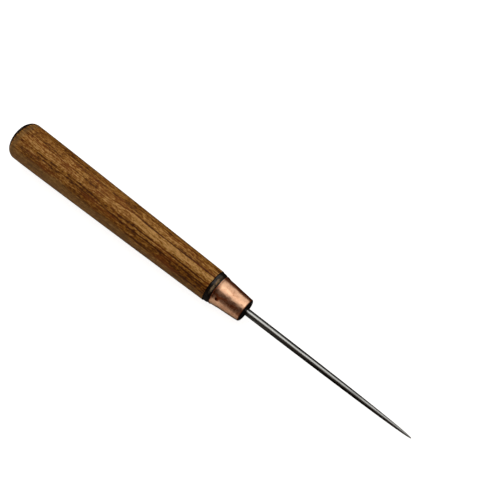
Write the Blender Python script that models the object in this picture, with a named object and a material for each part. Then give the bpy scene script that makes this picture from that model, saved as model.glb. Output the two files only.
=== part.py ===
"""Scratch awl for leatherwork, built as an assembly of four closed solids.

The tool lies along +X.  The origin is the centre of the flat butt face, the point is at +X and the
punched dimple of the ferrule looks up and towards -Y.  Lengths are metres.

    handle    turned wooden handle with a tenon and a blind hole for the tang
    ferrule   tapered copper tube over the tenon
    blade     round steel spike with its tang
    bedding   hard compound around the tang, closing the ferrule's mouth
"""

import math

import bmesh
import bpy
from mathutils import Matrix, Vector

MM = 0.001

# Handle
HANDLE_MAX_RADIUS = 9.1 * MM
HANDLE_END_RADIUS = 7.26 * MM
HANDLE_WIDEST_X = 7.0 * MM           # the taper starts here
HANDLE_TAPER_POWER = 1.15             # over 1 keeps the handle fuller near the butt
BUTT_FLAT_RADIUS = 6.3 * MM
BUTT_EDGE_LENGTH = 3.2 * MM
SHOULDER_START_X = 108.5 * MM        # the stained shoulder begins
SHOULDER_END_X = 111.0 * MM
SHOULDER_END_RADIUS = 6.6 * MM

# Ferrule
FERRULE_START_X = 111.3 * MM
FERRULE_END_X = 125.5 * MM
FERRULE_LIP_RADIUS = 6.75 * MM
FERRULE_LIP_LENGTH = 1.6 * MM        # the rear edge flares over this length
FERRULE_REAR_RADIUS = 6.35 * MM
FERRULE_FRONT_RADIUS = 5.4 * MM
FERRULE_WALL = 0.85 * MM
FERRULE_EDGE = 0.25 * MM

# Dimple that stakes the ferrule
DIMPLE_X = 114.1 * MM
DIMPLE_BALL_RADIUS = 1.3 * MM
DIMPLE_DEPTH = 0.28 * MM
DIMPLE_ROLL = math.radians(45.0)     # from straight up towards -Y

# Blade
BLADE_RADIUS = 1.6 * MM
BLADE_TIP_X = 208.0 * MM
BLADE_TIP_RADIUS = 0.06 * MM
BLADE_TAPER_POWER = 0.42             # the taper curves in towards the point
TANG_START_X = 64.0 * MM
TANG_CHAMFER = 0.6 * MM

# Bedding and the hidden hole
BEDDING_SLEEVE_RADIUS = 2.5 * MM
BEDDING_START_X = 62.0 * MM
BEDDING_DISC_LENGTH = 1.6 * MM
BEDDING_DOME_HEIGHT = 0.45 * MM      # the front face swells out of the ferrule's mouth
HOLE_START_X = 61.6 * MM

GAP = 0.3 * MM                       # clearance between neighbouring solids
MERGE_DISTANCE = 0.001 * MM          # joins the last facet of a turned solid to its first

# Facets around each solid
HANDLE_SIDES = 32
FERRULE_SIDES = 48
BLADE_SIDES = 24


def clear_scene():
    for obj in list(bpy.data.objects):
        bpy.data.objects.remove(obj, do_unlink=True)


def make_material(name, colour, roughness, metallic):
    material = bpy.data.materials.new(name)
    material.use_nodes = True
    shader = material.node_tree.nodes["Principled BSDF"]
    shader.inputs["Base Color"].default_value = (*colour, 1.0)
    shader.inputs["Roughness"].default_value = roughness
    shader.inputs["Metallic"].default_value = metallic
    material.diffuse_color = (*colour, 1.0)
    return material


def handle_radius(x):
    """Radius of the long taper, measured at a distance x from the butt."""
    along = (x - HANDLE_WIDEST_X) / (SHOULDER_START_X - HANDLE_WIDEST_X)
    drop = HANDLE_MAX_RADIUS - HANDLE_END_RADIUS
    return HANDLE_MAX_RADIUS - drop * max(along, 0.0) ** HANDLE_TAPER_POWER


def blade_radius(x):
    """Radius of the spike: full at the ferrule, falling faster and faster to the point."""
    along = (x - FERRULE_END_X) / (BLADE_TIP_X - FERRULE_END_X)
    return max(BLADE_RADIUS * (1.0 - along * along) ** BLADE_TAPER_POWER, BLADE_TIP_RADIUS)


def ferrule_bore_radius(x):
    """Inner radius of the ferrule: its outer cone less the wall."""
    along = (x - FERRULE_START_X) / (FERRULE_END_X - FERRULE_START_X)
    outer = FERRULE_REAR_RADIUS + along * (FERRULE_FRONT_RADIUS - FERRULE_REAR_RADIUS)
    return outer - FERRULE_WALL


def quarter_round(start, end, steps):
    """Points of an elliptical quarter from a flat face at start to a side at end, without start."""
    points = []
    for step in range(1, steps + 1):
        turn = 0.5 * math.pi * step / steps
        points.append((start[0] + (end[0] - start[0]) * (1.0 - math.cos(turn)),
                       start[1] + (end[1] - start[1]) * math.sin(turn)))
    return points


def spread(first, last, count):
    """Evenly spaced stations from first to last, both included."""
    return [first + (last - first) * i / (count - 1) for i in range(count)]


def turned_solid(name, profile, sides, material, parent, origin_x=0.0):
    """Solid of revolution about +X, its object's origin on the axis at origin_x.

    profile is a closed loop of (x, radius) points.  It is turned half a facet before it is spun, so
    that one flat facet looks straight down and the tool rests on it.
    """
    mesh = bmesh.new()
    verts = [mesh.verts.new((x - origin_x, 0.0, radius)) for x, radius in profile]
    on_axis = [radius <= 0.0 for x, radius in profile]
    for i, vert in enumerate(verts):
        if not (on_axis[i] and on_axis[i - 1]):
            mesh.edges.new((verts[i - 1], vert))
    half_facet = Matrix.Rotation(math.pi / sides, 3, "X")
    bmesh.ops.rotate(mesh, verts=mesh.verts, cent=(0.0, 0.0, 0.0), matrix=half_facet)
    bmesh.ops.spin(mesh, geom=mesh.verts[:] + mesh.edges[:], cent=(0.0, 0.0, 0.0),
                   axis=(1.0, 0.0, 0.0), angle=2.0 * math.pi, steps=sides)
    bmesh.ops.remove_doubles(mesh, verts=mesh.verts, dist=MERGE_DISTANCE)
    bmesh.ops.recalc_face_normals(mesh, faces=mesh.faces)

    data = bpy.data.meshes.new(name)
    mesh.to_mesh(data)
    mesh.free()
    data.shade_smooth()
    data.set_sharp_from_angle(angle=math.radians(30.0))
    data.materials.append(material)
    obj = bpy.data.objects.new(name, data)
    bpy.context.scene.collection.objects.link(obj)
    obj.parent = parent
    obj.location = (origin_x, 0.0, 0.0)
    return obj


def build_handle(parent):
    """Butt, taper, stained shoulder and tenon on the outside; a blind hole on the axis."""
    tenon_end = FERRULE_END_X - BEDDING_DISC_LENGTH - GAP
    tenon_start = FERRULE_START_X - GAP
    hole_radius = BEDDING_SLEEVE_RADIUS + GAP
    profile = [(0.0, 0.0), (0.0, BUTT_FLAT_RADIUS)]
    profile += quarter_round((0.0, BUTT_FLAT_RADIUS), (BUTT_EDGE_LENGTH, HANDLE_MAX_RADIUS), 6)
    profile += [(x, handle_radius(x)) for x in spread(HANDLE_WIDEST_X, SHOULDER_START_X, 10)]
    profile += [(SHOULDER_START_X + 0.8 * MM, HANDLE_END_RADIUS - 0.08 * MM),
                (SHOULDER_END_X - 0.7 * MM, SHOULDER_END_RADIUS + 0.1 * MM),
                (SHOULDER_END_X, SHOULDER_END_RADIUS)]
    profile += [(tenon_start, ferrule_bore_radius(tenon_start) - GAP),
                (tenon_end, ferrule_bore_radius(tenon_end) - GAP),
                (tenon_end, hole_radius),
                (HOLE_START_X, hole_radius),
                (HOLE_START_X, 0.0)]
    wood = make_material("handle_wood", (0.19, 0.085, 0.028), 0.36, 0.0)
    return turned_solid("handle", profile, HANDLE_SIDES, wood, parent)


def build_ferrule(parent):
    """Tapered tube with a flared rear edge, a broken front edge and one punched dimple."""
    profile = [(FERRULE_START_X, ferrule_bore_radius(FERRULE_START_X)),
               (FERRULE_START_X, FERRULE_LIP_RADIUS - FERRULE_EDGE),
               (FERRULE_START_X + FERRULE_EDGE, FERRULE_LIP_RADIUS),
               (FERRULE_START_X + 0.5 * FERRULE_LIP_LENGTH, FERRULE_REAR_RADIUS + 0.13 * MM),
               (FERRULE_START_X + FERRULE_LIP_LENGTH, FERRULE_REAR_RADIUS),
               (FERRULE_END_X - FERRULE_EDGE, FERRULE_FRONT_RADIUS),
               (FERRULE_END_X, FERRULE_FRONT_RADIUS - FERRULE_EDGE),
               (FERRULE_END_X, ferrule_bore_radius(FERRULE_END_X))]
    copper = make_material("ferrule_copper", (0.86, 0.47, 0.32), 0.24, 1.0)
    ferrule = turned_solid("ferrule", profile, FERRULE_SIDES, copper, parent, FERRULE_START_X)

    ball = bmesh.new()
    bmesh.ops.create_uvsphere(ball, u_segments=20, v_segments=10, radius=DIMPLE_BALL_RADIUS)
    along = (DIMPLE_X - FERRULE_START_X) / (FERRULE_END_X - FERRULE_START_X)
    surface = FERRULE_REAR_RADIUS + along * (FERRULE_FRONT_RADIUS - FERRULE_REAR_RADIUS)
    outwards = Vector((0.0, -math.sin(DIMPLE_ROLL), math.cos(DIMPLE_ROLL)))
    centre = outwards * (surface + DIMPLE_BALL_RADIUS - DIMPLE_DEPTH)
    turn_out = Vector((0.0, 0.0, 1.0)).rotation_difference(outwards).to_matrix().to_4x4()
    ball.transform(turn_out)
    data = bpy.data.meshes.new("dimple_cutter")
    ball.to_mesh(data)
    ball.free()
    cutter = bpy.data.objects.new("dimple_cutter", data)
    bpy.context.scene.collection.objects.link(cutter)
    cutter.parent = parent
    cutter.location = (DIMPLE_X, centre.y, centre.z)
    cutter.hide_render = True
    cutter.display_type = "WIRE"

    cut = ferrule.modifiers.new("dimple", "BOOLEAN")
    cut.operation = "DIFFERENCE"
    cut.solver = "EXACT"
    cut.object = cutter
    return ferrule


def build_blade(parent):
    """Tang, short parallel shank inside the ferrule, then the long spike."""
    profile = [(TANG_START_X, 0.0),
               (TANG_START_X, BLADE_RADIUS - TANG_CHAMFER),
               (TANG_START_X + 2.0 * TANG_CHAMFER, BLADE_RADIUS)]
    profile += [(x, blade_radius(x)) for x in spread(FERRULE_END_X, BLADE_TIP_X - 2.0 * MM, 16)]
    profile += [(BLADE_TIP_X - 0.6 * MM, blade_radius(BLADE_TIP_X - 0.6 * MM)),
                (BLADE_TIP_X, BLADE_TIP_RADIUS),
                (BLADE_TIP_X, 0.0)]
    steel = make_material("blade_steel", (0.53, 0.53, 0.52), 0.28, 1.0)
    return turned_solid("blade", profile, BLADE_SIDES, steel, parent, TANG_START_X)


def build_bedding(parent):
    """Sleeve along the tang, closed at its blind end, with a low dome in the ferrule's mouth."""
    disc_start = FERRULE_END_X - BEDDING_DISC_LENGTH
    mouth_radius = ferrule_bore_radius(FERRULE_END_X) - GAP
    tang_clear = BLADE_RADIUS + GAP
    pocket_start = TANG_START_X - GAP
    profile = [(BEDDING_START_X, 0.0),
               (BEDDING_START_X, BEDDING_SLEEVE_RADIUS),
               (disc_start, BEDDING_SLEEVE_RADIUS),
               (disc_start, ferrule_bore_radius(disc_start) - GAP),
               (FERRULE_END_X, mouth_radius),
               (FERRULE_END_X + 0.7 * BEDDING_DOME_HEIGHT, 0.9 * mouth_radius),
               (FERRULE_END_X + BEDDING_DOME_HEIGHT, 0.7 * mouth_radius),
               (FERRULE_END_X + BEDDING_DOME_HEIGHT, tang_clear),
               (pocket_start, tang_clear),
               (pocket_start, 0.0)]
    compound = make_material("bedding_compound", (0.016, 0.014, 0.013), 0.5, 0.0)
    return turned_solid("bedding", profile, BLADE_SIDES, compound, parent, BEDDING_START_X)


def main():
    clear_scene()
    root = bpy.data.objects.new("scratch_awl", None)
    root.empty_display_size = 0.02
    bpy.context.scene.collection.objects.link(root)
    build_handle(root)
    build_ferrule(root)
    build_blade(root)
    build_bedding(root)


main()
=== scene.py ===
"""Scratch awl: the detailed look of every piece, laid out as a Blender add-on and run as a script.

The awl lies along +X with its butt at x = 0 and its point at +X.  Every visible surface is a grid of
stations along the axis and directions around it, bent by formulas that each function states in words.
Lengths are metres.
"""

import math

import bpy
import numpy as np
from bpy.props import FloatProperty, FloatVectorProperty, IntProperty, PointerProperty
from mathutils import Matrix, Vector


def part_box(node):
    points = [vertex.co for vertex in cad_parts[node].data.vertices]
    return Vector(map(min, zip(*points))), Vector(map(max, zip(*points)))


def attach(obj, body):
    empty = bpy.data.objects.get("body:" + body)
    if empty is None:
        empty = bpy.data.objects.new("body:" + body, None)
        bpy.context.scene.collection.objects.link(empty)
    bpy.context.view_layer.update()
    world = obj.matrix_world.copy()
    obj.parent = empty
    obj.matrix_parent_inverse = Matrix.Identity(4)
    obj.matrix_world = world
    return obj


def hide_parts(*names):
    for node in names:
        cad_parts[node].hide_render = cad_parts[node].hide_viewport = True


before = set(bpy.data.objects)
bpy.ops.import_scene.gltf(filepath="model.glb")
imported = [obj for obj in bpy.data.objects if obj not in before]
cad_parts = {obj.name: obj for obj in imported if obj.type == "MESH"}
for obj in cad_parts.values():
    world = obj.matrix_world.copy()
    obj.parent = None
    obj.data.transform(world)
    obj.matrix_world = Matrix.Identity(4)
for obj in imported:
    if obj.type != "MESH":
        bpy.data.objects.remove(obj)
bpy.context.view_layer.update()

bl_info = {
    "name": "Scratch Awl",
    "version": (1, 0, 0),
    "blender": (4, 5, 0),
    "location": "3D View > Sidebar > Awl",
    "description": "Builds a leatherworking scratch awl around its engineering frame",
    "category": "Object",
}

MM = 0.001
LAYER_AXIS = (0.0, -0.977, -0.215)      # square to the middle plane of the growth layers
UPRIGHT_AXIS = (0.0, -0.215, 0.977)     # square to the tool's axis and to LAYER_AXIS
HOLE_RADIUS = 2.45 * MM                 # hole for the tang
HOLE_START_X = 61.8 * MM                # its blind end
SLEEVE_RADIUS = 2.40 * MM               # compound inside the hole
SLEEVE_START_X = 62.0 * MM
SLEEVE_BORE_X = 64.2 * MM               # end of the tang's place in the compound
TENON_END_X = 124.2 * MM
PLUG_START_X = 124.3 * MM
PIN_HOLE = 0.3 * MM                     # smallest radius, beside a pole
MIDDLE = (0.1, 0.0, 0.0)                # point that the large lights are aimed at
HANDLE_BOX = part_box("handle")
FERRULE_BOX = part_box("ferrule")
BLADE_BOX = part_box("blade")


# ---------------------------------------------------------------------------------------------
# Settings

def length(name, description, default, **limits):
    """A size in metres that the sidebar shows in the scene's units."""
    return FloatProperty(name=name, description=description, default=default, subtype="DISTANCE",
                         unit="LENGTH", precision=5, **limits)


def colour(name, description, default):
    """A linear colour without alpha."""
    return FloatVectorProperty(name=name, description=description, default=default, size=3,
                               subtype="COLOR", min=0.0, max=1.0)


class HandleSettings(bpy.types.PropertyGroup):
    """Sizes and stain of the turned handle."""

    max_radius: length("Largest radius", "Radius where the taper starts, near the butt",
                       0.5 * (HANDLE_BOX[1][2] - HANDLE_BOX[0][2]), min=0.004)
    end_radius: length("Shoulder radius", "Radius where the wood meets its black shoulder",
                       7.26 * MM, min=0.003)
    widest_x: length("Widest station", "Distance from the butt to the start of the taper", 7.0 * MM)
    shoulder_x: length("Shoulder station", "Distance from the butt to the black shoulder", 108.5 * MM)
    shoulder_end: length("Shoulder end", "Distance from the butt to the ferrule", 111.0 * MM)
    butt_flat: length("Butt flat radius", "Radius of the flat at the butt", 6.0 * MM)
    butt_round: length("Butt rounding", "Length over which the butt's edge is rounded", 3.4 * MM)
    taper_power: FloatProperty(name="Taper power", description="Over 1 keeps the butt end fuller",
                               default=1.15, min=0.5, max=3.0)
    facets: IntProperty(name="Directions", description="Grid directions around the handle",
                        default=208, min=24)
    relief: length("Grain relief", "Depth of the softer grain below the surface", 0.035 * MM)
    dark: colour("Dark grain", "Stain in the pores and the dark lines", (0.080, 0.0185, 0.0010))
    middle: colour("Middle grain", "Stain over most of the wood", (0.372, 0.144, 0.0125))
    # The light colour also carries the painted highlight in the light growth band.
    light: colour("Light grain", "Stain on the dense light bands", (0.760, 0.420, 0.128))
    red: colour("Red patches", "Redder stain where the wood took more of it", (0.262, 0.066, 0.0050))
    grey: colour("Grey side", "Greyer wood outside the last dark line", (0.215, 0.125, 0.040))
    # Painted shade: the Outer layers colour darkens the handle along its two outlines.
    edge: colour("Outer layers", "Darker layers along the two sides", (0.085, 0.048, 0.027))
    stain: colour("End stain", "Black stain of the butt and the shoulder", (0.0062, 0.0030, 0.0016))
    # Real rubbed stain on the chamfer, laid only across its lit middle, so partly a painted highlight.
    rubbed: colour("Rubbed edge", "Chamfer of the shoulder, where the stain is rubbed",
                   (0.400, 0.290, 0.175))


class FerruleSettings(bpy.types.PropertyGroup):
    """Sizes and copper of the ferrule."""

    start_x: length("Rear edge", "Distance from the butt to the rear edge",
                    FERRULE_BOX[0][0] - 0.2 * MM)
    end_x: length("Front edge", "Distance from the butt to the front edge", FERRULE_BOX[1][0])
    lip_radius: length("Lip radius", "Radius of the flared rear lip", 6.72 * MM)
    rear_radius: length("Rear radius", "Radius of the cone just ahead of the lip", 6.27 * MM)
    front_radius: length("Front radius", "Radius at the front edge", 5.30 * MM)
    wall: length("Wall", "Thickness of the copper", 0.85 * MM)
    dimple_x: length("Dimple station", "Distance from the butt to the punched dimple", 114.1 * MM)
    dimple_roll: FloatProperty(name="Dimple roll", description="From straight up towards -Y",
                               default=math.radians(45.0), subtype="ANGLE", unit="ROTATION")
    dimple_depth: length("Dimple depth", "Depth of the punched dimple", 0.30 * MM)
    dimple_radius: length("Dimple radius", "Radius of the punched dimple", 0.95 * MM)
    copper: colour("Copper", "Clean polished copper", (0.95, 0.580, 0.372))
    # Real tarnish at the edges, also laid as the painted shade on the far upper edge and the painted
    # dark reflection below the middle.
    tarnish_and_shade: colour("Tarnish", "Brown film in the hollows and along the edges", (0.400, 0.105, 0.034))
    # The pit colour is a real film in the dimple and painted shade on the lower rear edge.
    pit_film_and_shade: colour("Pit", "Dark film in the punched dimple", (0.150, 0.030, 0.008))


class BladeSettings(bpy.types.PropertyGroup):
    """Sizes and steel of the spike."""

    radius: length("Radius", "Radius of the spike at the ferrule", 1.60 * MM)
    tang_x: length("Tang end", "Distance from the butt to the hidden end of the tang",
                   BLADE_BOX[0][0])
    tip_x: length("Point", "Distance from the butt to the point", BLADE_BOX[1][0])
    taper_power: FloatProperty(name="Taper power", description="Lower keeps the spike fuller",
                               default=0.42, min=0.2, max=1.0)
    steel: colour("Steel", "Ground steel", (0.520, 0.530, 0.515))
    # Real dull film, also laid as the painted shade on the far upper edge and the painted dark
    # reflection below the middle.
    oxide_and_shade: colour("Oxide", "Dull grey film on the steel", (0.050, 0.051, 0.050))


class BeddingSettings(bpy.types.PropertyGroup):
    """The compound that closes the ferrule's mouth."""

    dome: length("Dome", "How far the face swells out of the mouth", 0.50 * MM)
    black: colour("Compound", "Black bedding compound", (0.0085, 0.0072, 0.0066))
    dusty: colour("Dust", "Dust and rubbed spots on the compound", (0.045, 0.040, 0.035))


class StageSettings(bpy.types.PropertyGroup):
    """Floor, lights and camera."""

    floor: colour("Floor", "Pale floor", (0.62, 0.615, 0.605))
    bounce: colour("Bounce", "White card that throws light back beside the handle",
                   (0.97, 0.91, 0.83))
    glow: FloatProperty(name="Glow", description="Light from below the floor", default=0.88, min=0.0)
    floor_size: length("Floor size", "Side of the square floor", 1.6)
    balance_x: length("Balance station", "Where the handle touches the floor", 83.0 * MM)
    target: FloatVectorProperty(name="Target", description="Point that the camera looks at", size=3,
                                default=(0.10916, 0.02378, -0.00700), subtype="TRANSLATION",
                                unit="LENGTH")
    azimuth: FloatProperty(name="Azimuth", description="0 looks along +Y, 90 along -X",
                           default=math.radians(36.013), subtype="ANGLE", unit="ROTATION")
    elevation: FloatProperty(name="Elevation", description="Height of the camera above the floor",
                             default=math.radians(70.595), subtype="ANGLE", unit="ROTATION")
    roll: FloatProperty(name="Roll", description="Turn of the camera about its own axis",
                        default=math.radians(-2.485), subtype="ANGLE", unit="ROTATION")
    distance: length("Distance", "From the target to the camera", 0.35952)
    lens: FloatProperty(name="Lens", description="Focal length on a 36 mm sensor", default=60.48,
                        min=10.0)


# ---------------------------------------------------------------------------------------------
# Surfaces

def random_hills(along, around, cells_along, cells_around, seed):
    """Smooth random hills between -1 and 1, without a seam around.

    A lattice of random heights is blended between its four nearest points with the smooth weight
    3w^2 - 2w^3 in both directions.  along and around run from 0 to 1.
    """
    heights = np.random.default_rng(seed).uniform(-1.0, 1.0, (cells_along + 1, cells_around))
    u = np.clip(along, 0.0, 1.0) * cells_along
    i = np.minimum(np.floor(u).astype(int), cells_along - 1)
    v = (around % 1.0) * cells_around
    j = np.floor(v).astype(int) % cells_around
    a = u - i
    b = v - np.floor(v)
    a = a * a * (3.0 - 2.0 * a)
    b = b * b * (3.0 - 2.0 * b)
    after = (j + 1) % cells_around
    low = heights[i, j] * (1.0 - b) + heights[i, after] * b
    high = heights[i + 1, j] * (1.0 - b) + heights[i + 1, after] * b
    return low * (1.0 - a) + high * a


def smooth_step(value, low, high):
    """0 below low, 1 above high and 3w^2 - 2w^3 between."""
    w = np.clip((value - low) / (high - low), 0.0, 1.0)
    return w * w * (3.0 - 2.0 * w)


def quarter_round(x0, r0, x1, r1, steps):
    """Elliptical quarter from a flat face at (x0, r0) to a side at (x1, r1), without its start."""
    turn = 0.5 * math.pi * np.arange(1, steps + 1) / steps
    return x0 + (x1 - x0) * (1.0 - np.cos(turn)), r0 + (r1 - r0) * np.sin(turn)


def quarter_fall(x0, r0, x1, r1, steps):
    """Elliptical quarter from a side at (x0, r0) to a flat face at (x1, r1), without its start."""
    turn = 0.5 * math.pi * np.arange(1, steps + 1) / steps
    return x0 + (x1 - x0) * np.sin(turn), r1 + (r0 - r1) * np.cos(turn)


def run(x0, r0, x1, r1, steps):
    """Straight run of stations from (x0, r0) to (x1, r1), without its start."""
    step = np.arange(1, steps + 1) / steps
    return x0 + (x1 - x0) * step, r0 + (r1 - r0) * step


def joined(*runs):
    """Stations of several runs, one after another, as one array of x and one of radius."""
    return (np.concatenate([np.atleast_1d(part[0]) for part in runs]),
            np.concatenate([np.atleast_1d(part[1]) for part in runs]))


def turned_mesh(name, x, radius, poles=True):
    """Closed skin around the X axis from two arrays of shape (stations, directions).

    A grid point at station i and direction j is (x, radius sin a, radius cos a) with
    a = 2 pi j / directions.  Each end is closed by a fan to a point on the axis, or, without poles,
    the last station is joined to the first one, which makes a tube with a wall.
    """
    stations, directions = radius.shape
    x = np.broadcast_to(x, radius.shape)
    turn = 2.0 * np.pi * np.arange(directions) / directions
    points = np.stack([x, radius * np.sin(turn), radius * np.cos(turn)], axis=-1).reshape(-1, 3)
    rows = stations - 1 if poles else stations
    i, j = np.meshgrid(np.arange(rows), np.arange(directions), indexing="ij")
    below = (i + 1) % stations
    beside = (j + 1) % directions
    quads = np.stack([i * directions + j, below * directions + j,
                      below * directions + beside, i * directions + beside], axis=-1).reshape(-1, 4)
    fans = np.empty((0, 3), int)
    if poles:
        ring = np.arange(directions)
        following = (ring + 1) % directions
        base = (stations - 1) * directions
        first = np.full(directions, len(points))
        fans = np.concatenate([np.stack([first, ring, following], axis=-1),
                               np.stack([first + 1, base + following, base + ring], axis=-1)])
        points = np.vstack([points, [x[0].mean(), 0.0, 0.0], [x[-1].mean(), 0.0, 0.0]])

    mesh = bpy.data.meshes.new(name)
    corners = np.concatenate([quads.ravel(), fans.ravel()])
    sizes = np.concatenate([np.full(len(quads), 4), np.full(len(fans), 3)])
    mesh.vertices.add(len(points))
    mesh.vertices.foreach_set("co", points.ravel())
    mesh.loops.add(len(corners))
    mesh.loops.foreach_set("vertex_index", corners)
    mesh.polygons.add(len(sizes))
    mesh.polygons.foreach_set("loop_start", np.concatenate([[0], np.cumsum(sizes)[:-1]]))
    mesh.update(calc_edges=True)
    if mesh.validate():
        raise RuntimeError(f"{name} has faulty faces")
    mesh.shade_smooth()
    return mesh


def place_piece(name, mesh, material, node):
    """Links a finished skin, gives it its material and lets it stand for one node of the frame."""
    mesh.materials.append(material)
    piece = bpy.data.objects.new(name, mesh)
    bpy.context.scene.collection.objects.link(piece)
    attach(piece, "root")
    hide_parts(node)
    return piece


def handle_skin(settings):
    """Skin of the handle.

    The outline runs from the middle of the butt over its rounded edge, down the taper
    R - (R - r) t^p, down the step and the chamfer of the shoulder and along the tenon, then back into
    the tang's hole.  On the outside three sets of hills are taken off the radius: long narrow ones for
    the softer grain, broad ones left by the turning and very broad ones that make it a little out
    of round.
    """
    top, end = settings.max_radius, settings.end_radius
    step, neck = settings.shoulder_x, settings.shoulder_end
    taper_x = np.linspace(settings.butt_round, step, 310)[1:]
    along = np.clip((taper_x - settings.widest_x) / (step - settings.widest_x), 0.0, 1.0)
    taper_r = top - (top - end) * along ** settings.taper_power
    flat = np.linspace(0.0, 1.0, 15)[1:]
    x, r = joined(
        (0.10 * MM * flat ** 3, settings.butt_flat * flat),
        quarter_round(0.10 * MM, settings.butt_flat, settings.butt_round, top, 18),
        (taper_x, taper_r),
        run(step, end, step + 0.15 * MM, end - 0.26 * MM, 2),
        run(step + 0.15 * MM, end - 0.26 * MM, step + 0.35 * MM, end - 0.22 * MM, 2),
        run(step + 0.35 * MM, end - 0.22 * MM, step + 1.0 * MM, end - 0.25 * MM, 4),
        quarter_fall(step + 1.0 * MM, end - 0.25 * MM, neck - 0.25 * MM, end - 0.62 * MM, 8),
        run(neck - 0.25 * MM, end - 0.62 * MM, neck + 0.3 * MM, end - 0.72 * MM, 3),
        run(neck + 0.3 * MM, 5.50 * MM, TENON_END_X, 4.60 * MM, 4),
        run(TENON_END_X, 4.60 * MM, TENON_END_X, HOLE_RADIUS, 2),
        run(TENON_END_X, HOLE_RADIUS, HOLE_START_X, HOLE_RADIUS, 4),
        run(HOLE_START_X, HOLE_RADIUS, HOLE_START_X, 0.4 * MM, 2))
    hidden = 3 + 4 + 2 + 4 + 2 + 1      # stations inside the ferrule
    around = np.arange(settings.facets) / settings.facets
    station = (x / step)[:, None]
    outside = smooth_step(x, 0.0, 2.0 * MM) * (1.0 - smooth_step(x, neck - 0.6 * MM, neck))
    outside[len(x) - hidden:] = 0.0
    grain = (random_hills(station, around, 9, 104, 3) * 0.6
             + random_hills(station, around, 26, 208, 4) * 0.4)
    turned = random_hills(station, around, 40, 5, 5)
    oval = random_hills(station, around, 3, 4, 6)
    sunk = settings.relief * (0.5 + 0.5 * grain) + 0.015 * MM * (0.5 + 0.5 * turned)
    sunk = sunk + 0.03 * MM * (0.5 + 0.5 * oval)
    radius = r[:, None] - sunk * outside[:, None]
    return turned_mesh("handle_skin", x[:, None], radius)


def ferrule_skin(settings):
    """Skin of the ferrule, a tube with a wall.

    Outside, the rear lip falls to a cone that runs straight to the rolled front edge; inside, the
    bore keeps the wall's thickness.  The rear edge waves a little along the axis, as a filed edge
    does, broad hills are the flats of light hammering, and the dimple is a bowl
    depth (1 - (d / radius)^2)^1.5.
    """
    directions = 240
    start, end = settings.start_x, settings.end_x
    lip, rear, front = settings.lip_radius, settings.rear_radius, settings.front_radius
    t = np.linspace(0.0, 1.0, 16)[1:]
    fall_x = start + 0.45 * MM + 2.3 * MM * t
    fall_r = rear + (lip - rear) * (1.0 - t) ** 1.8
    bore = front - settings.wall
    x, r = joined(
        (start + 0.10 * MM, lip - 0.42 * MM),
        quarter_round(start, lip - 0.30 * MM, start + 0.28 * MM, lip, 7),
        run(start + 0.28 * MM, lip, start + 0.45 * MM, lip, 1),
        (fall_x, fall_r),
        run(fall_x[-1], rear, end - 0.40 * MM, front, 84),
        quarter_fall(end - 0.40 * MM, front, end, front - 0.36 * MM, 8),
        run(end, front - 0.36 * MM, end, bore + 0.16 * MM, 2),
        quarter_fall(end, bore + 0.16 * MM, end - 0.16 * MM, bore, 3),
        run(end - 0.16 * MM, bore, start + 0.3 * MM, rear - settings.wall, 12),
        run(start + 0.3 * MM, rear - settings.wall, start + 0.10 * MM, lip - 0.70 * MM, 2))
    around = np.arange(directions) / directions
    station = np.clip((x - start) / (end - start), 0.0, 1.0)[:, None]
    outer = np.zeros(len(x))
    outer[:1 + 7 + 1 + 15 + 84 + 8] = 1.0       # stations of the lip, the cone and the rolled edge
    at_rear = (1.0 - smooth_step(x, start + 0.1 * MM, start + 1.6 * MM)) * outer
    wave = random_hills(np.zeros_like(station), around, 1, 17, 21) * 0.13 * MM
    shifted = x[:, None] + at_rear[:, None] * (0.13 * MM + wave)
    flats = random_hills(station, around, 6, 15, 22) + 0.5 * random_hills(station, around, 13, 34, 23)
    bumps = random_hills(station, around, 30, 80, 24)
    body = (outer * smooth_step(x, start, start + 1.0 * MM)
            * (1.0 - smooth_step(x, end - 0.6 * MM, end)))
    radius = r[:, None] + body[:, None] * (0.052 * MM * flats + 0.012 * MM * bumps)
    lip_wave = random_hills(np.zeros_like(station), around, 1, 23, 25)
    radius = radius + at_rear[:, None] * 0.045 * MM * lip_wave
    turn = 2.0 * np.pi * around + settings.dimple_roll
    across = np.arctan2(np.sin(turn), np.cos(turn)) * radius
    away = np.hypot(x[:, None] - settings.dimple_x, across) / settings.dimple_radius
    bowl = np.clip(1.0 - away ** 2, 0.0, 1.0) ** 1.5 * settings.dimple_depth
    radius = radius - outer[:, None] * bowl
    return turned_mesh("ferrule_skin", shifted, radius, poles=False)


def blade_skin(settings):
    """Skin of the spike and its tang.

    Ahead of the ferrule the radius is R (1 - t^2)^p, with t from 0 at the ferrule to 1 at the point.
    Very low long hills are the flats left by grinding along the spike.
    """
    directions = 64
    base, full, rear = FERRULE_BOX[1][0], settings.radius, settings.tang_x
    t = 1.0 - (1.0 - np.linspace(0.0, 1.0, 261)[1:]) ** 1.25
    x, r = joined(
        run(rear, 0.2 * MM, rear, full - 0.6 * MM, 2),
        run(rear, full - 0.6 * MM, rear + 1.2 * MM, full, 4),
        run(rear + 1.2 * MM, full, base, full, 24),
        (base + (settings.tip_x - base) * t,
         np.maximum(full * (1.0 - t * t) ** settings.taper_power, 0.012 * MM)))
    around = np.arange(directions) / directions
    station = np.clip((x - base) / (settings.tip_x - base), 0.0, 1.0)[:, None]
    flats = random_hills(station, around, 14, 9, 31) + 0.4 * random_hills(station, around, 60, 16, 32)
    radius = r[:, None] * (1.0 - 0.005 * (1.4 + flats))
    return turned_mesh("blade_skin", x[:, None], radius)


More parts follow.
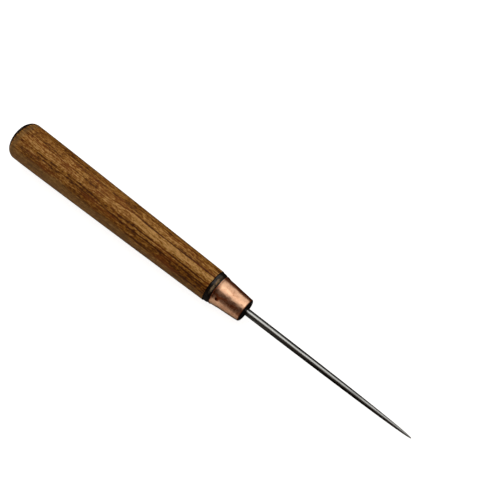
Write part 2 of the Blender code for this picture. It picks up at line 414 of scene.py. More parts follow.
def bedding_skin(settings, ferrule, blade):
    """Skin of the compound: a sleeve on the tang and a plug that swells out of the mouth.

    The plug is wiped over the copper's end.  Its face is flat in the middle and rounds off towards
    the rim, dents a little at random and climbs the spike in a small fillet.
    """
    directions = 120
    mouth = ferrule.front_radius - ferrule.wall
    plug = mouth - 0.02 * MM
    cap = ferrule.front_radius - 0.32 * MM
    end = ferrule.end_x
    rim = end + 0.02 * MM
    face_x = end + settings.dome
    hug = blade.radius * 0.97
    fillet = blade.radius + 0.45 * MM
    x, r = joined(
        run(SLEEVE_START_X, PIN_HOLE, SLEEVE_START_X, SLEEVE_RADIUS, 3),
        run(SLEEVE_START_X, SLEEVE_RADIUS, PLUG_START_X, SLEEVE_RADIUS, 4),
        run(PLUG_START_X, SLEEVE_RADIUS, PLUG_START_X, plug, 2),
        run(PLUG_START_X, plug, rim, plug, 3),
        run(rim, plug, rim, cap, 2),
        quarter_fall(rim, cap, face_x, cap - 1.90 * MM, 12),
        run(face_x, cap - 1.90 * MM, face_x, fillet, 12),
        quarter_round(face_x, fillet, face_x + 0.32 * MM, hug, 6),
        run(face_x + 0.32 * MM, hug, SLEEVE_BORE_X, hug, 3),
        run(SLEEVE_BORE_X, hug, SLEEVE_BORE_X, PIN_HOLE, 2))
    around = np.arange(directions) / directions
    face = smooth_step(x, end - 0.05 * MM, end + 0.2 * MM)[:, None]
    dents = random_hills((r / mouth)[:, None], around, 5, 13, 41)
    shifted = x[:, None] - face * 0.06 * MM * (0.5 + 0.5 * dents)
    return turned_mesh("bedding_skin", shifted, np.repeat(r[:, None], directions, axis=1))


# ---------------------------------------------------------------------------------------------
# Shader building

def put(tree, kind, inputs=None, **settings):
    """Adds one node.  A socket given as an input is linked, any other value is set on the input."""
    node = tree.nodes.new(kind)
    for name, value in settings.items():
        setattr(node, name, value)
    for key, value in (inputs or {}).items():
        if isinstance(value, bpy.types.NodeSocket):
            tree.links.new(value, node.inputs[key])
        else:
            node.inputs[key].default_value = value
    return node


def calc(tree, operation, first, second=0.0, third=0.0, clamp=False):
    """One Math node; returns its output."""
    return put(tree, "ShaderNodeMath", {0: first, 1: second, 2: third}, operation=operation,
               use_clamp=clamp).outputs[0]


def times(tree, first, second):
    """Product of two values."""
    return calc(tree, "MULTIPLY", first, second)


def scaled(tree, value, factor, base, clamp=False):
    """value x factor + base."""
    return calc(tree, "MULTIPLY_ADD", value, factor, base, clamp)


def between(tree, value, low, high, start=0.0, end=1.0):
    """Smooth step of a value, by default from 0 at low to 1 at high."""
    return put(tree, "ShaderNodeMapRange",
               {"Value": value, "From Min": low, "From Max": high, "To Min": start, "To Max": end},
               interpolation_type="SMOOTHSTEP").outputs["Result"]


def blend(tree, factor, first, second):
    """Mix of two colours; returns the colour output."""
    return put(tree, "ShaderNodeMix", {0: factor, 6: first, 7: second}, data_type="RGBA").outputs[2]


def stretched_noise(tree, vector, stretch, detail=3.0, roughness=0.55):
    """Noise on a position that is first multiplied by stretch, in cells per metre on each axis."""
    place = put(tree, "ShaderNodeMapping", {"Vector": vector, "Scale": stretch})
    return put(tree, "ShaderNodeTexNoise",
               {"Vector": place.outputs[0], "Scale": 1.0, "Detail": detail, "Roughness": roughness}
               ).outputs["Fac"]


def rgba(values):
    """Colour with full alpha."""
    return (values[0], values[1], values[2], 1.0)


def ramp_of(tree, value, stops):
    """Colour ramp through (position, grey or colour) stops; returns its colour output."""
    node = put(tree, "ShaderNodeValToRGB", {0: value})
    ramp = node.color_ramp
    while len(ramp.elements) < len(stops):
        ramp.elements.new(0.5)
    for element, (position, shade) in zip(ramp.elements, stops):
        element.position = position
        element.color = (shade, shade, shade, 1.0) if isinstance(shade, float) else rgba(shade)
    return node.outputs[0]


def growth_stops(marks, half_width=10.0 * MM):
    """Ramp stops from (distance in millimetres from the layers' middle plane, level) marks."""
    return [(0.5 + 0.5 * distance * MM / half_width, level) for distance, level in marks]


GROWTH_LINES = growth_stops([
    (-6.7, 0.0), (-6.4, 0.35), (-6.1, 0.0), (-3.75, 0.0), (-3.4, 1.0), (-3.1, 0.0),
    (0.05, 0.0), (0.35, 0.9), (0.7, 0.0), (1.5, 0.0), (1.85, 1.0), (2.2, 0.1), (3.2, 0.1),
    (4.4, 0.1), (4.8, 0.40), (5.2, 0.0), (7.0, 0.0), (7.3, 0.4), (7.6, 0.0)])
# The light band from -3.0 to -0.5 mm is lighter wood with a painted highlight of the overhead strip
# laid into it.
GROWTH_BANDS_AND_HIGHLIGHT = growth_stops([
    (-10.0, 0.42), (-7.0, 0.54), (-5.6, 0.58), (-4.2, 0.50), (-3.4, 0.35), (-3.0, 0.86), (-1.8, 1.08),
    (-0.5, 0.78), (0.3, 0.40), (1.2, 0.60), (1.9, 0.30), (3.0, 0.28), (4.6, 0.34),
    (5.2, 0.46), (7.2, 0.50), (10.0, 0.6)])
GRAIN_OUTPUTS = ("Across", "Line", "Band", "Streak", "Fibre", "Fleck", "Pore")


def roughen(tree, shader, height, strength, distance):
    """Turns a height into the shader's normal."""
    bump = put(tree, "ShaderNodeBump", {"Height": height, "Strength": strength, "Distance": distance})
    tree.links.new(bump.outputs[0], shader.inputs["Normal"])


def new_group(name, inputs, outputs):
    """Shader node group with named sockets and number outputs; returns its tree and the sockets
    inside it."""
    tree = bpy.data.node_groups.new(name, "ShaderNodeTree")
    for title, kind, default in inputs:
        socket = tree.interface.new_socket(name=title, in_out="INPUT", socket_type=kind)
        if default is not None:
            socket.default_value = default
    for title in outputs:
        tree.interface.new_socket(name=title, in_out="OUTPUT", socket_type="NodeSocketFloat")
    return tree, tree.nodes.new("NodeGroupInput").outputs, tree.nodes.new("NodeGroupOutput").inputs


def use_group(tree, name, builder, inputs):
    """Places a shared group in a material, building it the first time."""
    shared = bpy.data.node_groups.get(name) or builder(name)
    node = tree.nodes.new("ShaderNodeGroup")
    node.node_tree = shared
    for key, value in inputs.items():
        if isinstance(value, bpy.types.NodeSocket):
            tree.links.new(value, node.inputs[key])
        else:
            node.inputs[key].default_value = value
    return node.outputs


def along_axis(tree, place, axis):
    """Distance from the tool's axis, measured along a direction square to it."""
    return put(tree, "ShaderNodeVectorMath", {0: place, 1: axis}, operation="DOT_PRODUCT"
               ).outputs["Value"]


def station_of(tree, place):
    """Distance from the butt, along the tool."""
    return put(tree, "ShaderNodeSeparateXYZ", {0: place}).outputs[0]


def painted_far_edge_shade(tree, place, radius, low, high):
    """1 on the upper part of the side away from -Y, between the given shares of the local radius:
    the mask of the painted shade along the far upper edge.
    """
    share = calc(tree, "DIVIDE", along_axis(tree, place, LAYER_AXIS), radius)
    lift = calc(tree, "DIVIDE", along_axis(tree, place, UPRIGHT_AXIS), radius)
    return times(tree, between(tree, share, low, high), between(tree, lift, -0.30, 0.02))


def long_grain(name):
    """Open-grained wood with its growth layers on edge.

    Across is the distance from the middle plane of the layers, bent by slow noise.  Line is 1 on the
    dark growth lines, Band is the tone of the wood between them, with a painted highlight laid into
    its light band, Streak and Fibre are coarse and fine lengthwise threads, Fleck is a short mottle
    and Pore is 1 inside the short open pores.
    """
    tree, given, result = new_group(
        name,
        [("Vector", "NodeSocketVector", None), ("Half Width", "NodeSocketFloat", 0.01),
         ("Sway", "NodeSocketFloat", 0.0012)],
        GRAIN_OUTPUTS)
    place = given["Vector"]
    across = along_axis(tree, place, LAYER_AXIS)
    slow = stretched_noise(tree, place, (26.0, 90.0, 90.0), 2.0, 0.5)
    ripple = stretched_noise(tree, place, (120.0, 420.0, 420.0), 2.0, 0.5)
    bend = scaled(tree, ripple, 0.45, slow)
    bend = calc(tree, "SUBTRACT", bend, 0.725)
    bent = scaled(tree, times(tree, bend, given["Sway"]), 2.0, across)
    share = calc(tree, "DIVIDE", bent, given["Half Width"])
    share = scaled(tree, share, 0.5, 0.485)
    lines = ramp_of(tree, share, GROWTH_LINES)
    bands = ramp_of(tree, share, GROWTH_BANDS_AND_HIGHLIGHT)
    broken = stretched_noise(tree, place, (45.0, 700.0, 700.0), 3.0, 0.6)
    line = times(tree, lines, between(tree, broken, 0.20, 0.48))
    streak = stretched_noise(tree, place, (25.0, 900.0, 900.0), 3.0, 0.6)
    fibre = stretched_noise(tree, place, (170.0, 2100.0, 2100.0), 3.0, 0.65)
    fleck = stretched_noise(tree, place, (700.0, 1500.0, 1500.0), 3.0, 0.70)
    dashes = stretched_noise(tree, place, (420.0, 2500.0, 2500.0), 1.0, 0.4)
    crowd = stretched_noise(tree, place, (60.0, 400.0, 400.0), 2.0, 0.5)
    threshold = scaled(tree, crowd, 0.20, times(tree, bands, -0.04))
    threshold = scaled(tree, lines, 0.05, threshold)
    pore = between(tree, calc(tree, "ADD", dashes, threshold), 0.62, 0.74)
    for title, socket in zip(GRAIN_OUTPUTS, (bent, line, bands, streak, fibre, fleck, pore)):
        tree.links.new(socket, result[title])
    return tree


def fine_scratches(name):
    """Polishing marks.  Marks are threads along the two given stretches; Worn is their broad,
    uneven density."""
    tree, given, result = new_group(
        name,
        [("Vector", "NodeSocketVector", None), ("Along", "NodeSocketVector", (150.0, 3000.0, 3000.0)),
         ("Across", "NodeSocketVector", (4000.0, 150.0, 150.0))],
        ["Marks", "Worn"])
    threads = []
    for key in ("Along", "Across"):
        place = put(tree, "ShaderNodeVectorMath", {0: given["Vector"], 1: given[key]},
                    operation="MULTIPLY").outputs[0]
        threads.append(put(tree, "ShaderNodeTexNoise",
                           {"Vector": place, "Scale": 1.0, "Detail": 3.0, "Roughness": 0.6}
                           ).outputs["Fac"])
    both = times(tree, calc(tree, "ADD", threads[0], threads[1]), 0.5)
    worn = stretched_noise(tree, given["Vector"], (260.0, 420.0, 420.0), 3.0, 0.6)
    tree.links.new(both, result["Marks"])
    tree.links.new(worn, result["Worn"])
    return tree


def edge_film(name):
    """Film or wear along a turned edge: 1 at the given station, fading to 0 over the width, with a
    ragged border."""
    tree, given, result = new_group(
        name,
        [("Vector", "NodeSocketVector", None), ("Station", "NodeSocketFloat", 0.0),
         ("Width", "NodeSocketFloat", 0.001), ("Ragged", "NodeSocketFloat", 0.5)],
        ["Mask"])
    x = station_of(tree, given["Vector"])
    away = calc(tree, "ABSOLUTE", calc(tree, "SUBTRACT", x, given["Station"]))
    share = calc(tree, "DIVIDE", away, given["Width"])
    noise = stretched_noise(tree, given["Vector"], (700.0, 900.0, 900.0), 3.0, 0.6)
    push = times(tree, calc(tree, "SUBTRACT", noise, 0.5), given["Ragged"])
    mask = between(tree, scaled(tree, push, 2.0, share), 1.0, 0.35)
    tree.links.new(mask, result["Mask"])
    return tree


def film_at(tree, place, station, width, ragged):
    """Mask of the shared edge film around one station."""
    return use_group(tree, "Edge Film", edge_film,
                     {"Vector": place, "Station": station, "Width": width, "Ragged": ragged})["Mask"]


def new_material(name):
    """Material with an empty tree, its Principled BSDF and the object's own coordinates."""
    material = bpy.data.materials.new(name)
    material.use_nodes = True
    tree = material.node_tree
    tree.nodes.clear()
    shader = tree.nodes.new("ShaderNodeBsdfPrincipled")
    output = tree.nodes.new("ShaderNodeOutputMaterial")
    tree.links.new(shader.outputs[0], output.inputs["Surface"])
    place = tree.nodes.new("ShaderNodeTexCoord").outputs["Object"]
    return material, tree, shader, place


def stained_wood(settings):
    """Stained open-grained wood, oiled, with its two ends stained black."""
    material, tree, shader, place = new_material("stained_wood")
    x = station_of(tree, place)
    contrast = between(tree, x, 30.0 * MM, 85.0 * MM, 0.38, 1.15)
    sway = between(tree, x, 50.0 * MM, 82.0 * MM, 2.7 * MM, 0.4 * MM)
    grain = use_group(tree, "Long Grain", long_grain,
                      {"Vector": place, "Half Width": 10.0 * MM, "Sway": sway})
    blotch = stretched_noise(tree, place, (60.0, 260.0, 260.0), 3.0, 0.6)
    level = calc(tree, "SUBTRACT", grain["Band"], 0.5)
    tone = scaled(tree, times(tree, level, contrast), 0.62, 0.515)
    for share, effect in ((0.75, grain["Streak"]), (1.40, grain["Fibre"]), (1.90, grain["Fleck"]),
                          (0.8, blotch)):
        tone = scaled(tree, calc(tree, "SUBTRACT", effect, 0.5), share, tone)
    lined = times(tree, grain["Line"], contrast)
    tone = scaled(tree, lined, -0.85, tone)
    tone = scaled(tree, grain["Pore"], -0.26, tone)
    reddish = [0.45 * m + 0.55 * d for m, d in zip(settings.middle, settings.dark)]
    coloured = ramp_of(tree, tone, [(0.05, settings.dark), (0.28, reddish),
                                    (0.52, settings.middle), (1.0, settings.light)])
    patch = between(tree, stretched_noise(tree, place, (75.0, 300.0, 300.0), 2.0, 0.5), 0.48, 0.62)
    low = between(tree, tone, 0.85, 0.35)
    patch = times(tree, times(tree, patch, low), 0.55)
    coloured = blend(tree, patch, coloured, rgba(settings.red))
    outside = between(tree, grain["Across"], 4.6 * MM, 6.6 * MM)
    coloured = blend(tree, times(tree, outside, 0.55), coloured, rgba(settings.grey))

    # Painted shade: two dark strips along the handle's two outlines, on its upper half.
    # They follow the handle's own radius, taken here as a straight taper.
    slimmer = scaled(tree, x, -0.0178, 9.22 * MM)
    across = along_axis(tree, place, LAYER_AXIS)
    height = along_axis(tree, place, UPRIGHT_AXIS)
    painted_edge_shade = calc(tree, "DIVIDE", calc(tree, "ABSOLUTE", across), slimmer)
    painted_edge_shade = times(tree, between(tree, painted_edge_shade, 0.945, 1.0),
                      between(tree, calc(tree, "DIVIDE", height, slimmer), -0.25, 0.0))
    coloured = blend(tree, times(tree, painted_edge_shade, 0.60), coloured, rgba(settings.edge))

    ragged = stretched_noise(tree, place, (240.0, 900.0, 900.0), 3.0, 0.6)
    soft = scaled(tree, ragged, 2.2 * MM, x)
    soft = scaled(tree, grain["Across"], 0.09, soft)
    olive = times(tree, between(tree, soft, 3.6 * MM, 4.4 * MM),
                  between(tree, soft, 6.6 * MM, 5.0 * MM))
    coloured = blend(tree, times(tree, olive, 0.55), coloured, rgba(settings.grey))
    butt = between(tree, soft, 4.0 * MM, 2.9 * MM)
    shoulder = between(tree, scaled(tree, ragged, 0.25 * MM, x),
                       settings.shoulder_x - 0.10 * MM, settings.shoulder_x + 0.08 * MM)
    black = calc(tree, "MAXIMUM", butt, shoulder)
    coloured = blend(tree, black, coloured, rgba(settings.stain))
    # Real rubbed stain on the chamfer, kept to the lit middle of its face: partly a painted highlight.
    rubbed = film_at(tree, place, settings.shoulder_x + 1.75 * MM, 0.75 * MM, 0.7)
    mottle = between(tree, stretched_noise(tree, place, (900.0, 900.0, 900.0), 3.0, 0.6), 0.32, 0.58)
    painted_lit_middle = times(tree, between(tree, grain["Across"], 4.2 * MM, 1.2 * MM),
                     between(tree, grain["Across"], -6.2 * MM, -1.0 * MM))
    worn = times(tree, times(tree, rubbed, mottle), painted_lit_middle)
    coloured = blend(tree, worn, coloured, rgba(settings.rubbed))
    tree.links.new(coloured, shader.inputs["Base Color"])

    rough = scaled(tree, grain["Pore"], 0.15, 0.48)
    rough = scaled(tree, grain["Fibre"], 0.16, rough)
    tree.links.new(rough, shader.inputs["Roughness"])
    sealed = scaled(tree, grain["Pore"], -0.05, 0.07)
    lacquer = times(tree, shoulder, between(tree, grain["Across"], 1.0 * MM, -2.0 * MM))
    sealed = scaled(tree, lacquer, scaled(tree, mottle, 0.8, 0.2), sealed, clamp=True)
    tree.links.new(sealed, shader.inputs["Coat Weight"])
    shader.inputs["Coat Roughness"].default_value = 0.24
    shader.inputs["Coat Tint"].default_value = (1.0, 0.80, 0.50, 1.0)
    shader.inputs["Coat IOR"].default_value = 1.5
    shader.inputs["Specular IOR Level"].default_value = 0.12

    swell = times(tree, grain["Pore"], -1.0)
    for title, share in (("Fibre", 0.55), ("Streak", 0.60), ("Line", -0.50)):
        swell = scaled(tree, grain[title], share, swell)
    roughen(tree, shader, swell, 0.7, 0.05 * MM)
    return material


def beaten_copper(settings):
    """Polished copper with light scratches.

    A brown film lies at both edges and in clouds and specks, and the dimple is darker with its own
    film.  Painted shade: the same film is laid as a dark band on the upper far side, as a painted
    dark reflection in patches on the near side just below the middle, and as darker colour on the
    lower rear edge.
    """
    material, tree, shader, place = new_material("beaten_copper")
    scratches = use_group(tree, "Fine Scratches", fine_scratches,
                          {"Vector": place, "Along": (260.0, 2600.0, 2600.0),
                           "Across": (5200.0, 260.0, 260.0)})
    rear = film_at(tree, place, settings.start_x, 0.95 * MM, 0.8)
    front = film_at(tree, place, settings.end_x, 0.55 * MM, 0.6)
    skin = 6.25 * MM                    # radius of the copper at the dimple
    dimple = (settings.dimple_x, -skin * math.sin(settings.dimple_roll),
              skin * math.cos(settings.dimple_roll))
    hollow = put(tree, "ShaderNodeVectorMath", {0: place, 1: dimple}, operation="DISTANCE"
                 ).outputs["Value"]
    punched = between(tree, hollow, 1.10 * MM, 0.55 * MM)
    cloud = stretched_noise(tree, place, (230.0, 330.0, 330.0), 4.0, 0.62)
    across = along_axis(tree, place, LAYER_AXIS)
    # Painted shade: the rear film is thicker on the lower half, and the lower rear edge gets the pit
    # colour.
    lower = between(tree, across, -2.2 * MM, 0.8 * MM)
    film = times(tree, rear, scaled(tree, lower, 0.55, 0.30))
    film = calc(tree, "MAXIMUM", film, times(tree, front, 0.65))
    film = calc(tree, "MAXIMUM", film, times(tree, punched, 0.90))
    film = scaled(tree, between(tree, cloud, 0.45, 0.72), 0.40, film, clamp=True)
    # Painted reflection: brown film in patches on the near side just below the middle, where the
    # copper mirrors the dark room.
    painted_dark_reflection = times(tree, between(tree, across, -0.4 * MM, 1.6 * MM),
                  between(tree, across, 3.9 * MM, 3.1 * MM))
    patch = between(tree, stretched_noise(tree, place, (330.0, 520.0, 520.0), 3.0, 0.55), 0.38, 0.60)
    painted_dark_reflection = times(tree, painted_dark_reflection, scaled(tree, patch, 0.85, 0.12))
    film = calc(tree, "MAXIMUM", film, painted_dark_reflection)
    # The painted shade on the far upper edge follows the cone's own radius.
    slimmer = scaled(tree, station_of(tree, place), -0.0765, 14.9 * MM)
    side = painted_far_edge_shade(tree, place, slimmer, -0.72, -0.86)
    film = scaled(tree, side, 0.9, film, clamp=True)
    specks = stretched_noise(tree, place, (1100.0, 1500.0, 1500.0), 2.0, 0.6)
    film = scaled(tree, between(tree, specks, 0.50, 0.72), 0.30, film, clamp=True)
    streaky = scaled(tree, scratches["Marks"], 0.5, film)
    film = calc(tree, "SUBTRACT", streaky, 0.22, clamp=True)
    coloured = blend(tree, film, rgba(settings.copper), rgba(settings.tarnish_and_shade))
    # Pit colour: real film in the dimple, painted shade on the lower rear edge.
    dark = calc(tree, "MAXIMUM", punched, times(tree, rear, lower))
    tree.links.new(blend(tree, times(tree, dark, 0.9), coloured, rgba(settings.pit_film_and_shade)),
                   shader.inputs["Base Color"])
    shader.inputs["Metallic"].default_value = 1.0
    rough = scaled(tree, scratches["Worn"], 0.20, 0.19)
    rough = scaled(tree, film, 0.15, rough)
    tree.links.new(rough, shader.inputs["Roughness"])
    roughen(tree, shader, scaled(tree, cloud, 2.5, scratches["Marks"]), 0.7, 0.02 * MM)
    return material


def ground_steel(settings):
    """Ground steel, satin, with lengthwise marks.

    A dull film lies in patches, at the ferrule and towards the point.  Painted shade: the same film
    lies as a dark band on the upper far side and as a painted dark reflection on the near side just
    below the middle.
    """
    material, tree, shader, place = new_material("ground_steel")
    scratches = use_group(tree, "Fine Scratches", fine_scratches,
                          {"Vector": place, "Along": (90.0, 5200.0, 5200.0),
                           "Across": (7000.0, 500.0, 500.0)})
    root = film_at(tree, place, FERRULE_BOX[1][0], 3.0 * MM, 0.9)
    cloud = stretched_noise(tree, place, (75.0, 900.0, 900.0), 4.0, 0.6)
    film = times(tree, between(tree, cloud, 0.48, 0.75), 0.35)
    film = scaled(tree, root, 0.25, film)
    front = between(tree, station_of(tree, place), 145.0 * MM, 180.0 * MM)
    film = scaled(tree, front, 0.22, film)
    # Painted shade along the far upper edge.
    side = painted_far_edge_shade(tree, place, settings.radius, -0.28, -0.62)
    film = scaled(tree, side, 0.95, film, clamp=True)
    across = along_axis(tree, place, LAYER_AXIS)
    height = along_axis(tree, place, UPRIGHT_AXIS)
    full = settings.radius
    # Painted reflection: dull film on the near side below the middle, where the steel mirrors the dark
    # room.
    steel_dark_reflection = times(tree, between(tree, across, 0.10 * full, 0.45 * full),
                  between(tree, height, -0.30 * full, 0.02 * full))
    film = scaled(tree, steel_dark_reflection, 0.75, film, clamp=True)
    tree.links.new(blend(tree, film, rgba(settings.steel), rgba(settings.oxide_and_shade)),
                   shader.inputs["Base Color"])
    shader.inputs["Metallic"].default_value = 1.0
    rough = scaled(tree, scratches["Marks"], 0.18, 0.16)
    rough = scaled(tree, film, 0.12, rough)
    tree.links.new(rough, shader.inputs["Roughness"])
    roughen(tree, shader, scratches["Marks"], 0.3, 0.012 * MM)
    return material


def bedding_compound(settings):
    """Black compound, half glossy, uneven and a little dusty."""
    material, tree, shader, place = new_material("bedding_compound")
    lumps = stretched_noise(tree, place, (900.0, 900.0, 900.0), 4.0, 0.6)
    specks = stretched_noise(tree, place, (3600.0, 3600.0, 3600.0), 2.0, 0.5)
    dust = times(tree, between(tree, specks, 0.55, 0.75), between(tree, lumps, 0.40, 0.70))
    tree.links.new(blend(tree, dust, rgba(settings.black), rgba(settings.dusty)),
                   shader.inputs["Base Color"])
    tree.links.new(scaled(tree, lumps, 0.4, 0.22), shader.inputs["Roughness"])
    roughen(tree, shader, lumps, 0.5, 0.10 * MM)
    return material


def pale_floor(settings):
    """Pale card, lit from below so that it looks evenly white.

    What it throws back at the tool is set apart from how it looks: the near side beside the handle
    and the ferrule bounces light like a white card, and the rest stays dim, as on a black table.
    """
    material, tree, shader, place = new_material("pale_floor")
    fleck = stretched_noise(tree, place, (90.0, 90.0, 90.0), 3.0, 0.5)
    shade = [0.985 * part for part in settings.floor]
    tree.links.new(blend(tree, fleck, rgba(settings.floor), rgba(shade)), shader.inputs["Base Color"])
    shader.inputs["Roughness"].default_value = 0.9
    shader.inputs["Specular IOR Level"].default_value = 0.1
    glow = put(tree, "ShaderNodeEmission", {"Color": (1.0, 0.998, 0.992, 1.0),
                                            "Strength": settings.glow})
    looks = put(tree, "ShaderNodeAddShader", {0: shader.outputs[0], 1: glow.outputs[0]})
    flat = put(tree, "ShaderNodeSeparateXYZ", {0: place}).outputs
    front = FERRULE_BOX[1][0]
    beside = times(tree, between(tree, flat[1], -7.0 * MM, -18.0 * MM),
                   between(tree, flat[0], front + 12.0 * MM, front - 2.0 * MM))
    card = put(tree, "ShaderNodeBsdfDiffuse",
               {"Color": blend(tree, beside, (0.05, 0.044, 0.038, 1.0), rgba(settings.bounce))})
    seen = put(tree, "ShaderNodeLightPath").outputs["Is Camera Ray"]
    both = put(tree, "ShaderNodeMixShader", {0: seen, 1: card.outputs[0], 2: looks.outputs[0]})
    output = next(node for node in tree.nodes if node.type == "OUTPUT_MATERIAL")
    tree.links.new(both.outputs[0], output.inputs["Surface"])
    return material


# ---------------------------------------------------------------------------------------------
# Stage

def aim(obj, position, target):
    """Places an object and turns its -Z axis to the target."""
    position, target = Vector(position), Vector(target)
    turn = (target - position).to_track_quat("-Z", "Y").to_matrix().to_4x4()
    obj.matrix_world = Matrix.Translation(position) @ turn


def soft_light(name, position, target, width, height, radiance, tint):
    """Rectangular area light of an even radiance over its face."""
    data = bpy.data.lights.new(name, "AREA")
    data.shape = "RECTANGLE"
    data.size = width
    data.size_y = height
    data.energy = math.pi * width * height * radiance
    data.color = tint
    light = bpy.data.objects.new(name, data)
    light.visible_camera = False
    bpy.context.scene.collection.objects.link(light)
    aim(light, position, target)


def around_axis(angle_deg, distance):
    """Point at a distance from the middle of the tool, at an angle from straight up towards +Y
    around it, and set back towards the butt."""
    angle = math.radians(angle_deg)
    back = -0.2
    flat = math.sqrt(1.0 - back * back)
    return (MIDDLE[0] + distance * back, distance * flat * math.sin(angle),
            distance * flat * math.cos(angle))


def build_world():
    """Dim warm room around the tool, behind a pale backdrop."""
    world = bpy.data.worlds.new("studio")
    world.use_nodes = True
    tree = world.node_tree
    tree.nodes.clear()
    direction = tree.nodes.new("ShaderNodeTexCoord").outputs["Generated"]
    up = put(tree, "ShaderNodeSeparateXYZ", {0: direction}).outputs[2]
    lift = between(tree, up, -0.2, 1.0)
    tint = blend(tree, lift, (0.040, 0.018, 0.0080, 1.0), (0.024, 0.011, 0.0055, 1.0))
    room = put(tree, "ShaderNodeBackground", {"Color": tint, "Strength": 1.0})
    backdrop = put(tree, "ShaderNodeBackground", {"Color": (0.80, 0.80, 0.79, 1.0), "Strength": 1.0})
    seen = put(tree, "ShaderNodeLightPath").outputs["Is Camera Ray"]
    both = put(tree, "ShaderNodeMixShader", {0: seen, 1: room.outputs[0], 2: backdrop.outputs[0]})
    output = tree.nodes.new("ShaderNodeOutputWorld")
    tree.links.new(both.outputs[0], output.inputs["Surface"])
    bpy.context.scene.world = world


def build_floor(settings, handle):
    """Square floor that touches the handle's taper below its balance point."""
    x = settings.balance_x
    span = handle.shoulder_x - handle.widest_x
    along = (x - handle.widest_x) / span
    drop = handle.max_radius - handle.end_radius
    radius = handle.max_radius - drop * along ** handle.taper_power
    slope = drop * handle.taper_power * along ** (handle.taper_power - 1.0) / span
    half = 0.5 * settings.floor_size
    lines = 9
    grid = np.linspace(-half, half, lines)
    gx, gy = np.meshgrid(grid + x, grid, indexing="ij")
    gz = -radius - 0.02 * MM + slope * (gx - x)
    points = np.stack([gx, gy, gz], axis=-1).reshape(-1, 3)
    i, j = np.meshgrid(np.arange(lines - 1), np.arange(lines - 1), indexing="ij")
    corner = (i * lines + j).ravel()
    faces = np.stack([corner, corner + lines, corner + lines + 1, corner + 1], axis=-1)
    mesh = bpy.data.meshes.new("floor")
    mesh.from_pydata(points.tolist(), [], faces.tolist())
    mesh.update()
    mesh.materials.append(pale_floor(settings))
    floor = bpy.data.objects.new("floor", mesh)
    bpy.context.scene.collection.objects.link(floor)


def build_camera(settings):
    """Camera on a sphere around its target, turned by its roll."""
    azimuth, elevation = settings.azimuth, settings.elevation
    forward = Vector((-math.sin(azimuth) * math.cos(elevation),
                      math.cos(azimuth) * math.cos(elevation), -math.sin(elevation)))
    level = forward.cross(Vector((0.0, 0.0, 1.0))).normalized()
    upright = level.cross(forward)
    up = upright * math.cos(settings.roll) + level * math.sin(settings.roll)
    right = forward.cross(up)
    position = Vector(settings.target) - forward * settings.distance
    data = bpy.data.cameras.new("camera")
    data.lens = settings.lens
    data.sensor_width = 36.0
    data.clip_start = 0.01
    data.clip_end = 20.0
    camera = bpy.data.objects.new("camera", data)
    bpy.context.scene.collection.objects.link(camera)
    turn = Matrix((right, up, -forward)).transposed().to_4x4()
    camera.matrix_world = Matrix.Translation(position) @ turn
    bpy.context.scene.camera = camera


# ---------------------------------------------------------------------------------------------
# Operators

class AWL_OT_handle(bpy.types.Operator):
    """Build the turned wooden handle."""

    bl_idname = "awl.handle"
    bl_label = "Handle"

    def execute(self, context):
        settings = context.scene.awl_handle
        place_piece("handle_wood", handle_skin(settings), stained_wood(settings), "handle")
        return {"FINISHED"}


class AWL_OT_ferrule(bpy.types.Operator):
    """Build the copper ferrule."""

    bl_idname = "awl.ferrule"
    bl_label = "Ferrule"

    def execute(self, context):
        settings = context.scene.awl_ferrule
        place_piece("ferrule_copper", ferrule_skin(settings), beaten_copper(settings), "ferrule")
        return {"FINISHED"}


class AWL_OT_blade(bpy.types.Operator):
    """Build the steel spike and its tang."""

    bl_idname = "awl.blade"
    bl_label = "Blade"

    def execute(self, context):
        settings = context.scene.awl_blade
        place_piece("blade_steel", blade_skin(settings), ground_steel(settings), "blade")
        return {"FINISHED"}


class AWL_OT_bedding(bpy.types.Operator):
    """Build the compound that beds the tang and closes the ferrule's mouth."""

    bl_idname = "awl.bedding"
    bl_label = "Bedding"

    def execute(self, context):
        scene = context.scene
        mesh = bedding_skin(scene.awl_bedding, scene.awl_ferrule, scene.awl_blade)
        place_piece("bedding_plug", mesh, bedding_compound(scene.awl_bedding), "bedding")
        return {"FINISHED"}


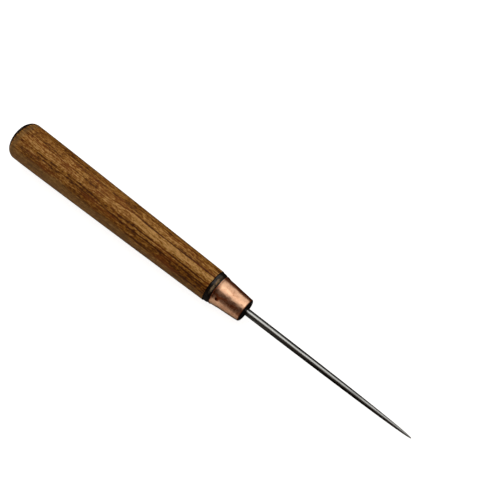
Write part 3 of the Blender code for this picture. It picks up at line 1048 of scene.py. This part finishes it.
class AWL_OT_stage(bpy.types.Operator):
    """Build the floor, the soft studio lights and the camera."""

    bl_idname = "awl.stage"
    bl_label = "Stage"

    def execute(self, context):
        scene = context.scene
        build_world()
        build_floor(scene.awl_stage, scene.awl_handle)
        soft_light("overhead_softbox", around_axis(36.5, 0.95), MIDDLE, 1.3, 1.96, 0.88,
                   (1.0, 0.985, 0.96))
        soft_light("overhead_strip", around_axis(15.0, 0.80), MIDDLE, 0.9, 0.15, 0.95,
                   (1.0, 0.985, 0.95))
        soft_light("end_fill", (-0.68, -0.52, 0.50), MIDDLE, 0.8, 0.8, 1.3, (1.0, 0.98, 0.95))
        soft_light("side_card", (0.098, -0.0965, 0.0115), (0.118, 0.0, 0.0), 0.026, 0.039, 0.62,
                   (1.0, 0.95, 0.88))
        build_camera(scene.awl_stage)
        scene.view_settings.view_transform = "Standard"
        scene.view_settings.look = "None"
        return {"FINISHED"}


class AWL_PT_panel(bpy.types.Panel):
    """Lists every operator with its settings."""

    bl_idname = "AWL_PT_panel"
    bl_label = "Scratch Awl"
    bl_space_type = "VIEW_3D"
    bl_region_type = "UI"
    bl_category = "Awl"

    def draw(self, context):
        for operator, settings in PIECES:
            box = self.layout.box()
            box.operator(operator.bl_idname)
            group = getattr(context.scene, settings)
            for name in group.bl_rna.properties.keys():
                if name not in {"rna_type", "name"}:
                    box.prop(group, name)


PIECES = (
    (AWL_OT_handle, "awl_handle"),
    (AWL_OT_ferrule, "awl_ferrule"),
    (AWL_OT_blade, "awl_blade"),
    (AWL_OT_bedding, "awl_bedding"),
    (AWL_OT_stage, "awl_stage"),
)
SETTINGS = (
    ("awl_handle", HandleSettings),
    ("awl_ferrule", FerruleSettings),
    ("awl_blade", BladeSettings),
    ("awl_bedding", BeddingSettings),
    ("awl_stage", StageSettings),
)


def register():
    """Registers the settings, the operators and the panel."""
    for name, settings in SETTINGS:
        bpy.utils.register_class(settings)
        setattr(bpy.types.Scene, name, PointerProperty(type=settings))
    for operator, settings in PIECES:
        bpy.utils.register_class(operator)
    bpy.utils.register_class(AWL_PT_panel)


def unregister():
    """Takes out what register put in."""
    bpy.utils.unregister_class(AWL_PT_panel)
    for operator, settings in reversed(PIECES):
        bpy.utils.unregister_class(operator)
    for name, settings in reversed(SETTINGS):
        delattr(bpy.types.Scene, name)
        bpy.utils.unregister_class(settings)


def main():
    """Builds every piece and the stage."""
    register()
    bpy.ops.awl.handle()
    bpy.ops.awl.ferrule()
    bpy.ops.awl.blade()
    bpy.ops.awl.bedding()
    bpy.ops.awl.stage()


if __name__ == "__main__":
    main()
